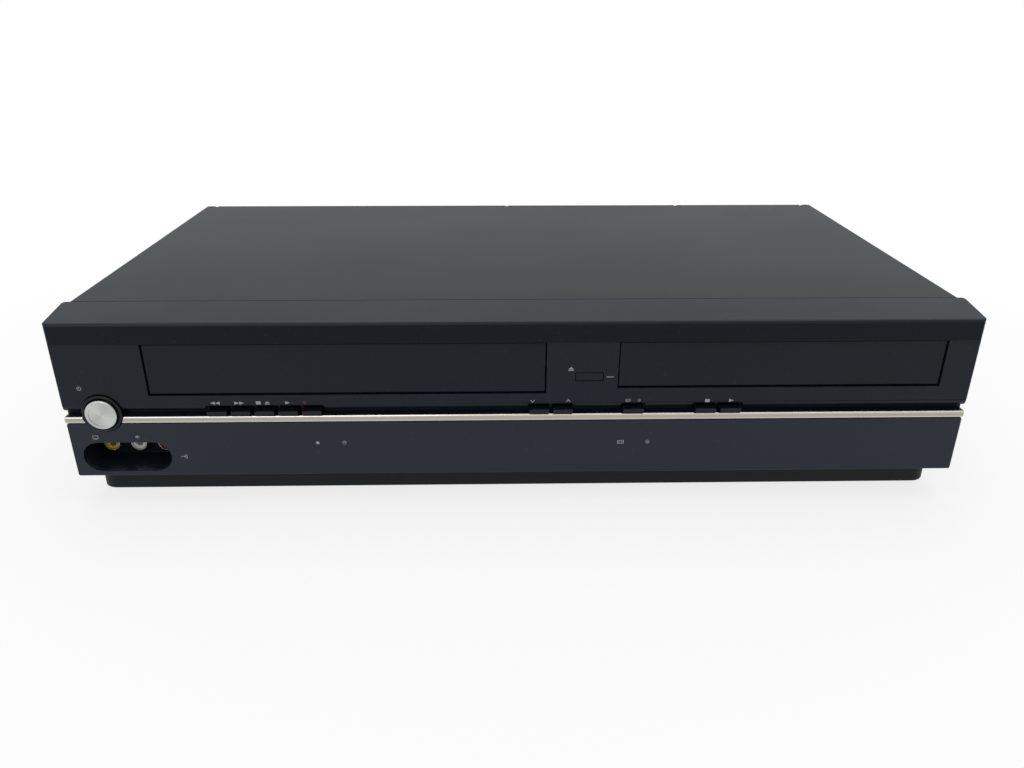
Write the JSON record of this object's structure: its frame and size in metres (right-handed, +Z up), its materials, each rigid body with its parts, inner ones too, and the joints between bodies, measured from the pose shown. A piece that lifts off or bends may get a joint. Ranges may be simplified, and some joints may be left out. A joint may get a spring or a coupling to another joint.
{
  "type": "disc and video cassette recorder combo",
  "caption": "Low black home recorder with a cassette slot, a sliding disc tray, a round power button, small keys and front jacks.",
  "frame": {"origin": "centre of the footprint, on the surface that the feet stand on", "axes": "+X to the right seen from the front, +Y to the back, +Z up; the fascia faces -Y"},
  "size_m": [0.435, 0.237, 0.0995],
  "materials": {
    "cover": "satin dark grey paint on sheet steel",
    "fascia": "semi-gloss black moulding",
    "door": "semi-gloss black moulding",
    "lower_panel": "smoked glossy panel",
    "trim": "bright champagne trim",
    "bezel": "gloss black",
    "power_button": "spun silver",
    "keys": "metallic grey coat",
    "display": "dark display tube",
    "video_jack": "yellow",
    "left_jack": "white",
    "right_jack": "red",
    "base": "fine textured black",
    "gland": "black",
    "rubber": "matt black",
    "socket_block": "black",
    "zinc": "zinc-plated sheet",
    "steel": "ground steel",
    "drum": "turned",
    "nylon": "white acetal",
    "tray": "fine textured black",
    "dark_parts": "dark grey",
    "front_board": "green coated laminate",
    "supply_board": "brown laminate"
  },
  "bodies": {
    "case": {"front_fascia": "fascia", "lower_panel": "lower_panel", "trim_strip_left": "trim", "trim_strip_right": "trim", "power_button_bezel": "bezel", "front_board": "front_board", "status_display": "display", "jack_pocket": "fascia", "front_video_jack": "video_jack", "front_audio_left_jack": "left_jack", "front_audio_right_jack": "right_jack", "top_cover": "cover", "base_chassis": "base", "foot_front_left": "rubber", "foot_front_right": "rubber", "foot_rear_left": "rubber", "foot_rear_right": "rubber", "rear_panel": "cover", "rear_av_jacks": "socket_block", "rf_terminal": "zinc", "mains_gland": "gland", "main_board": "front_board", "power_supply": "supply_board", "carriage_housing": "zinc", "deck_chassis": "zinc", "head_drum_lower": "drum", "loader_frame": "tray", "clamp_bridge": "zinc", "loader_motor": "steel"},
    "power_key": {"power_button": "power_button"},
    "rewind_key": {"rewind_button": "keys"},
    "fast_forward_key": {"fast_forward_button": "keys"},
    "stop_eject_key": {"stop_eject_button": "keys"},
    "tape_play_key": {"tape_play_button": "keys"},
    "record_key": {"record_button": "keys"},
    "tracking_down_key": {"tracking_down_button": "keys"},
    "tracking_up_key": {"tracking_up_button": "keys"},
    "source_select_key": {"source_select_button": "keys"},
    "disc_stop_key": {"disc_stop_button": "keys"},
    "disc_play_key": {"disc_play_button": "keys"},
    "open_close_key": {"open_close_button": "keys"},
    "tape_door": {"cassette_door": "door"},
    "tape_carriage": {"carriage_slider": "zinc"},
    "tape_basket": {"cassette_holder": "zinc"},
    "supply_reel": {"supply_reel_table": "nylon"},
    "takeup_reel": {"takeup_reel_table": "nylon"},
    "head_drum": {"head_drum_upper": "drum"},
    "capstan": {"capstan_flywheel": "steel"},
    "pinch_lever": {"pinch_arm": "zinc"},
    "pinch_wheel": {"pinch_roller": "rubber"},
    "disc_drawer": {"disc_tray": "tray", "tray_front": "door"},
    "drawer_gear": {"tray_drive_gear": "nylon"},
    "traverse": {"traverse_frame": "zinc", "pickup_rod_left": "steel", "pickup_rod_right": "steel"},
    "spindle": {"disc_turntable": "dark_parts"},
    "pickup": {"optical_pickup": "dark_parts"},
    "feed_screw": {"pickup_lead_screw": "steel"},
    "disc_clamp": {"clamp_puck": "dark_parts"}
  },
  "joints": [
    {"name": "power_press", "type": "slide", "parent": "case", "child": "power_key", "axis": [0, 1, 0], "range_m": [0, 0.001], "stiffness_N_per_m": 250},
    {"name": "rewind_press", "type": "slide", "parent": "case", "child": "rewind_key", "axis": [0, 1, 0], "range_m": [0, 0.0005], "stiffness_N_per_m": 300},
    {"name": "fast_forward_press", "type": "slide", "parent": "case", "child": "fast_forward_key", "axis": [0, 1, 0], "range_m": [0, 0.0005], "stiffness_N_per_m": 300},
    {"name": "stop_eject_press", "type": "slide", "parent": "case", "child": "stop_eject_key", "axis": [0, 1, 0], "range_m": [0, 0.0005], "stiffness_N_per_m": 300},
    {"name": "tape_play_press", "type": "slide", "parent": "case", "child": "tape_play_key", "axis": [0, 1, 0], "range_m": [0, 0.0005], "stiffness_N_per_m": 300},
    {"name": "record_press", "type": "slide", "parent": "case", "child": "record_key", "axis": [0, 1, 0], "range_m": [0, 0.0005], "stiffness_N_per_m": 300},
    {"name": "tracking_down_press", "type": "slide", "parent": "case", "child": "tracking_down_key", "axis": [0, 1, 0], "range_m": [0, 0.0005], "stiffness_N_per_m": 300},
    {"name": "tracking_up_press", "type": "slide", "parent": "case", "child": "tracking_up_key", "axis": [0, 1, 0], "range_m": [0, 0.0005], "stiffness_N_per_m": 300},
    {"name": "source_select_press", "type": "slide", "parent": "case", "child": "source_select_key", "axis": [0, 1, 0], "range_m": [0, 0.0005], "stiffness_N_per_m": 300},
    {"name": "disc_stop_press", "type": "slide", "parent": "case", "child": "disc_stop_key", "axis": [0, 1, 0], "range_m": [0, 0.0005], "stiffness_N_per_m": 300},
    {"name": "disc_play_press", "type": "slide", "parent": "case", "child": "disc_play_key", "axis": [0, 1, 0], "range_m": [0, 0.0005], "stiffness_N_per_m": 300},
    {"name": "open_close_press", "type": "slide", "parent": "case", "child": "open_close_key", "axis": [0, 1, 0], "range_m": [0, 0.0005], "stiffness_N_per_m": 300},
    {"name": "tape_door_swing", "type": "hinge", "parent": "case", "child": "tape_door", "pos_m": [-0.08125, -0.1114, 0.0895], "axis": [1, 0, 0], "range_deg": [0, 85], "stiffness_Nm_per_rad": 0.006, "springref_deg": -22.92},
    {"name": "tape_carriage_slide", "type": "slide", "parent": "case", "child": "tape_carriage", "axis": [0, 1, 0], "range_m": [0, 0.044]},
    {"name": "tape_basket_drop", "type": "slide", "parent": "tape_carriage", "child": "tape_basket", "axis": [0, 0, -1], "range_m": [0, 0.012]},
    {"name": "supply_reel_spin", "type": "hinge", "parent": "case", "child": "supply_reel", "pos_m": [-0.12775, -0.049, 0.0335], "axis": [0, 0, 1], "continuous": true},
    {"name": "takeup_reel_spin", "type": "hinge", "parent": "case", "child": "takeup_reel", "pos_m": [-0.03475, -0.049, 0.0335], "axis": [0, 0, 1], "continuous": true},
    {"name": "head_drum_spin", "type": "hinge", "parent": "case", "child": "head_drum", "pos_m": [-0.08125, 0.047, 0.0345], "axis": [0, -0.0872, 0.9962], "continuous": true},
    {"name": "capstan_spin", "type": "hinge", "parent": "case", "child": "capstan", "pos_m": [-0.02125, 0.007, 0.03], "axis": [0, 0, 1], "continuous": true},
    {"name": "pinch_lever_swing", "type": "hinge", "parent": "case", "child": "pinch_lever", "pos_m": [-0.00695, 0.0252, 0.0448], "axis": [0, 0, 1], "range_deg": [0, 24], "stiffness_Nm_per_rad": 0.02},
    {"name": "pinch_wheel_spin", "type": "hinge", "parent": "pinch_lever", "child": "pinch_wheel", "pos_m": [-0.03288, 0.02327, 0.0448], "axis": [0, 0, 1], "continuous": true},
    {"name": "disc_drawer_slide", "type": "slide", "parent": "case", "child": "disc_drawer", "axis": [0, -1, 0], "range_m": [0, 0.134]},
    {"name": "drawer_gear_spin", "type": "hinge", "parent": "case", "child": "drawer_gear", "pos_m": [0.17585, -0.079, 0.056], "axis": [0, 0, -1], "range_deg": [0, 855]},
    {"name": "traverse_tilt", "type": "hinge", "parent": "case", "child": "traverse", "pos_m": [0.12485, 0.045, 0.0599], "axis": [1, 0, 0], "range_deg": [0, 5]},
    {"name": "spindle_spin", "type": "hinge", "parent": "traverse", "child": "spindle", "pos_m": [0.12485, -0.043, 0.0707], "axis": [0, 0, 1], "continuous": true},
    {"name": "pickup_slide", "type": "slide", "parent": "traverse", "child": "pickup", "axis": [0, 1, 0], "range_m": [0, 0.035]},
    {"name": "feed_screw_turn", "type": "hinge", "parent": "traverse", "child": "feed_screw", "pos_m": [0.16135, -0.043, 0.0638], "axis": [0, 1, 0], "range_deg": [0, 4201]},
    {"name": "disc_clamp_spin", "type": "hinge", "parent": "case", "child": "disc_clamp", "pos_m": [0.12485, -0.043, 0.0773], "axis": [0, 0, 1], "continuous": true}
  ],
  "couplings": [
    {"joint": "drawer_gear_spin", "follows": "disc_drawer_slide", "rad_per_m": 111.11},
    {"joint": "feed_screw_turn", "follows": "pickup_slide", "rad_per_m": 2094.4}
  ]
}
